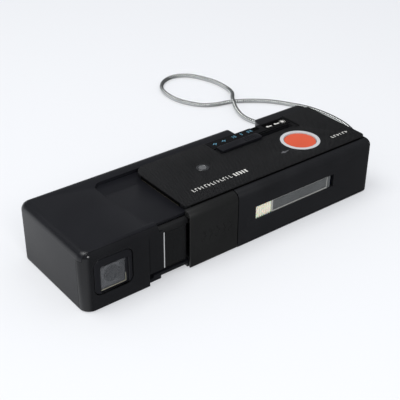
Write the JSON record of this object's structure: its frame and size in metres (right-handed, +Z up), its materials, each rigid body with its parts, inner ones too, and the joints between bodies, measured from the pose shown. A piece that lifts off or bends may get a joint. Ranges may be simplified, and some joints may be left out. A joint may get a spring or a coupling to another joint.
{
  "type": "pocket camera",
  "caption": "Flat black pull-apart pocket camera for a film cartridge, with built-in flash, round release button, setting slider and metal wrist strap, shown pulled open.",
  "frame": {"origin": "middle of the open camera's bottom face, without the strap", "axes": "+X along the length towards the flash end, +Y from the lens side to the eyepiece side, +Z up"},
  "size_m": [0.2155, 0.1774, 0.0305],
  "materials": {
    "black_plastic": "satin moulded black",
    "gloss_black": "polished black",
    "plate_black": "finely textured black",
    "frame_black": "flat black",
    "bright_trim": "polished",
    "clear_glass": "clear",
    "finder_gray": "satin gray",
    "lens_dark": "coated",
    "brass": "satin",
    "steel": "satin",
    "button_ring": "pale silver-white",
    "button_orange": "satin orange-red",
    "smoky_lamp": "smoky dome",
    "cream_plastic": "translucent cream",
    "flash_clear": "ribbed clear",
    "reflector": "mirror",
    "board": "green laminate",
    "capacitor": "sleeved",
    "cell": "wrapped cell",
    "cartridge": "grained black",
    "strap_metal": "braided sleeve"
  },
  "bodies": {
    "body": {"chassis": "frame_black", "neck_window": "gloss_black", "shutter_cover": "black_plastic", "body_shell": "black_plastic", "body_base": "black_plastic", "body_screws": "steel", "top_plate": "plate_black", "scale_plate": "gloss_black", "button_ring": "button_ring", "button_spring": "steel", "ready_lamp": "smoky_lamp", "lens_barrel": "frame_black", "taking_lens": "clear_glass", "shutter_plate": "steel", "film_cartridge": "cartridge", "flash_window": "flash_clear", "flash_end_block": "cream_plastic", "flash_reflector": "reflector", "flash_tube": "clear_glass", "flash_capacitor": "capacitor", "flash_board": "board", "battery_cradle": "frame_black", "battery_contacts": "steel", "battery_1": "cell", "battery_2": "cell", "lever_bracket": "steel", "lever_pin": "steel", "strap_pin": "steel", "strap_ring": "steel", "strap_ferrule": "strap_metal", "strap_cord": "strap_metal"},
    "housing": {"housing_shell": "black_plastic", "housing_base": "black_plastic", "front_panel": "gloss_black", "edge_trim": "bright_trim", "finder_bezel": "gloss_black", "finder_glass": "clear_glass", "finder_plate": "finder_gray", "finder_lens": "lens_dark", "finder_eyepiece": "clear_glass", "wind_rack": "brass", "housing_screws": "steel", "door_hinge_pin": "steel"},
    "door": {"film_door": "black_plastic", "film_window": "clear_glass", "cartridge_spring": "steel"},
    "button": {"release_button": "button_orange"},
    "lever": {"release_lever": "steel"},
    "setting": {"mode_slider": "black_plastic", "aperture_bar": "steel"},
    "shutter": {"shutter_blade": "frame_black"},
    "wind": {"wind_gear": "brass", "takeup_spool": "frame_black"},
    "battery_lid": {"battery_door": "black_plastic"}
  },
  "joints": [
    {"name": "housing_slide", "type": "slide", "parent": "body", "child": "housing", "axis": [1, 0, 0], "range_m": [0, 0.013]},
    {"name": "film_door_hinge", "type": "hinge", "parent": "housing", "child": "door", "pos_m": [-0.02325, 0.026, 0.0061], "axis": [-1, 0, 0], "range_deg": [0, 85]},
    {"name": "button_press", "type": "slide", "parent": "body", "child": "button", "axis": [0, 0, -1], "range_m": [0, 0.0007], "stiffness_N_per_m": 800, "springref_m": -0.0005, "deforming": ["button_spring"]},
    {"name": "lever_rock", "type": "hinge", "parent": "body", "child": "lever", "pos_m": [0.03575, -0.0067, 0.0213], "axis": [0, 1, 0], "range_deg": [0, 2.3]},
    {"name": "setting_slide", "type": "slide", "parent": "body", "child": "setting", "axis": [1, 0, 0], "range_m": [0, 0.02]},
    {"name": "shutter_turn", "type": "hinge", "parent": "body", "child": "shutter", "pos_m": [-0.02325, -0.01165, 0.008], "axis": [0, 1, 0], "range_deg": [0, 35], "stiffness_Nm_per_rad": 0.0002, "springref_deg": -17.19},
    {"name": "wind_turn", "type": "hinge", "parent": "body", "child": "wind", "pos_m": [0.00125, 0.006, 0.002], "axis": [0, 0, 1], "range_deg": [0, 118.5]},
    {"name": "battery_lid_slide", "type": "slide", "parent": "body", "child": "battery_lid", "axis": [0, -1, 0], "range_m": [0, 0.04]}
  ],
  "couplings": [
    {"joint": "lever_rock", "follows": "button_press", "rad_per_m": 56.818},
    {"joint": "wind_turn", "follows": "housing_slide", "rad_per_m": 158.73}
  ]
}
